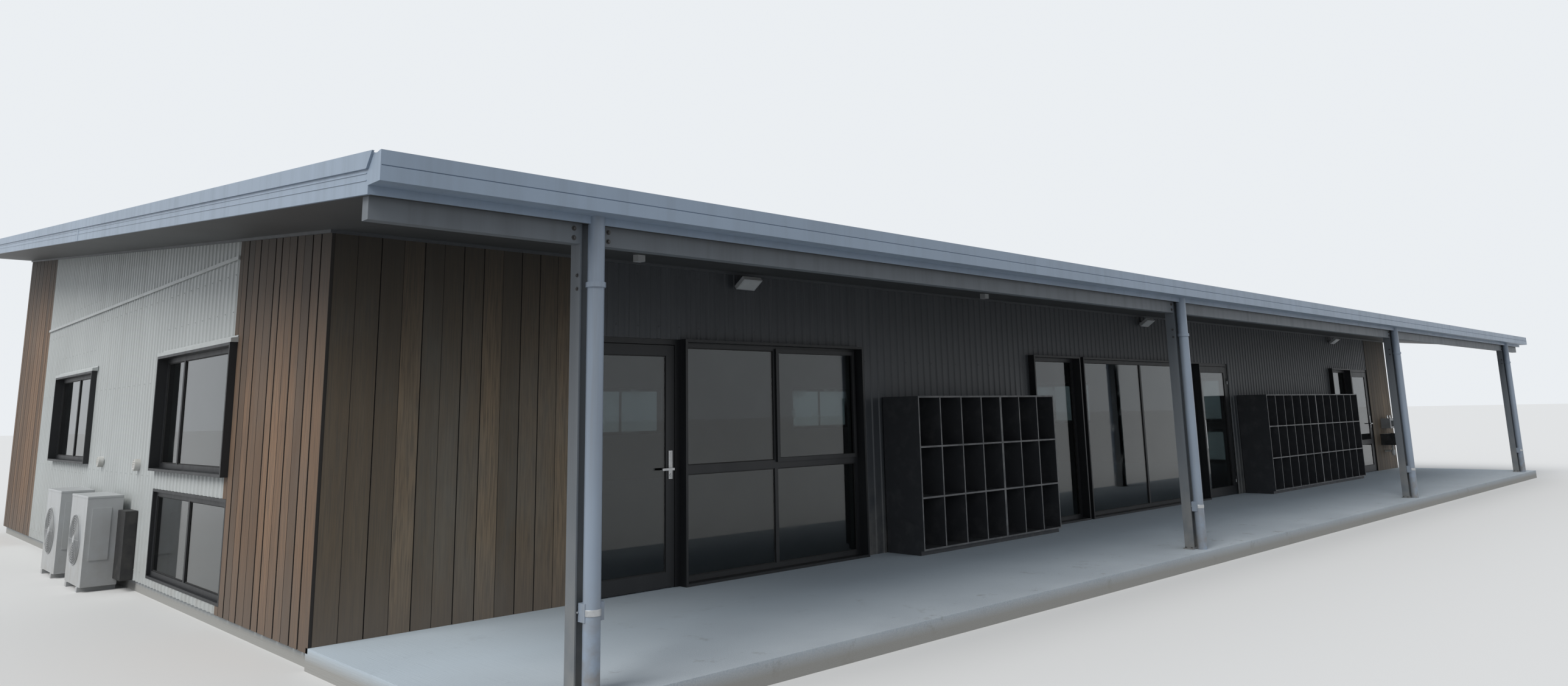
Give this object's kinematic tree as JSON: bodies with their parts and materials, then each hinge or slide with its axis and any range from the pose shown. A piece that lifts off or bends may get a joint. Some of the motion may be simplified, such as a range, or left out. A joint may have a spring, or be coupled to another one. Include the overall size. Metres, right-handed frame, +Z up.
{
  "type": "school classroom block",
  "caption": "Long single-storey classroom block under one sloping roof, with a covered veranda on steel posts, glazed doors and bag shelves along its front.",
  "frame": {"origin": "at ground level, under the middle of the building's outline in plan", "axes": "+X along the front from the near end to the far end, +Y from the veranda to the rear, +Z up"},
  "size_m": [25.55, 16.4, 4.7012],
  "materials": {
    "concrete": "matte, lightly broomed",
    "wall_lining": "painted lining on timber framing",
    "cedar": "weathered, oiled boards",
    "dark_steel": "satin",
    "pale_steel": "satin",
    "dark_aluminium": "satin powder coat",
    "glazing": "clear",
    "roof_steel": "satin",
    "trim_steel": "satin",
    "lining_dark": "satin",
    "roof_frame": "framing and insulation",
    "frame_steel": "satin",
    "pvc": "satin",
    "black_board": "dark film face",
    "handle_steel": "brushed",
    "lamp": "satin",
    "pump_case": "satin",
    "cover_black": "matte",
    "vent_white": "satin",
    "trough_steel": "satin"
  },
  "bodies": {
    "building": {"barges": "trim_steel", "cedar_cladding": "cedar", "dark_cladding": "dark_steel", "door_heads": "dark_aluminium", "door_hinges": "handle_steel", "door_jambs": "dark_aluminium", "downpipes": "pvc", "drink_trough": "trough_steel", "entrance_posts": "dark_aluminium", "far_end_wall": "wall_lining", "floodlights": "lamp", "floor_slab": "concrete", "front_gutter": "trim_steel", "front_infill_walls": "wall_lining", "front_wall": "wall_lining", "heat_pumps": "pump_case", "near_end_wall": "wall_lining", "pale_cladding": "pale_steel", "pipe_cover": "cover_black", "rear_fascia": "trim_steel", "rear_wall": "wall_lining", "roof_deck": "roof_frame", "roof_sheet": "roof_steel", "shelf_backs": "black_board", "shelf_boards": "black_board", "shelf_dividers": "black_board", "soffit_lining": "lining_dark", "soffit_trim": "trim_steel", "veranda_beam": "frame_steel", "veranda_posts": "frame_steel", "veranda_slab": "concrete", "wall_flashings": "trim_steel", "wall_vents": "vent_white", "window_bars": "dark_aluminium", "window_boxes": "dark_aluminium", "window_glass": "glazing"},
    "near_door": {"near_door_glass": "glazing", "near_door_handle": "handle_steel", "near_door_leaf": "dark_aluminium"},
    "entrance_door": {"entrance_door_glass": "glazing", "entrance_door_handle": "handle_steel", "entrance_door_leaf": "dark_aluminium"},
    "far_door": {"far_door_glass": "glazing", "far_door_handle": "handle_steel", "far_door_leaf": "dark_aluminium"}
  },
  "joints": [
    {"name": "near_door_hinge", "type": "hinge", "parent": "building", "child": "near_door", "pos_m": [-9.771, -5.549, 1.25], "axis": [0, 0, 1], "range_deg": [-90, 0]},
    {"name": "entrance_door_hinge", "type": "hinge", "parent": "building", "child": "entrance_door", "pos_m": [3.171, -5.549, 1.25], "axis": [0, 0, 1], "range_deg": [0, 90]},
    {"name": "far_door_hinge", "type": "hinge", "parent": "building", "child": "far_door", "pos_m": [9.559, -5.549, 1.25], "axis": [0, 0, 1], "range_deg": [-90, 0]}
  ]
}
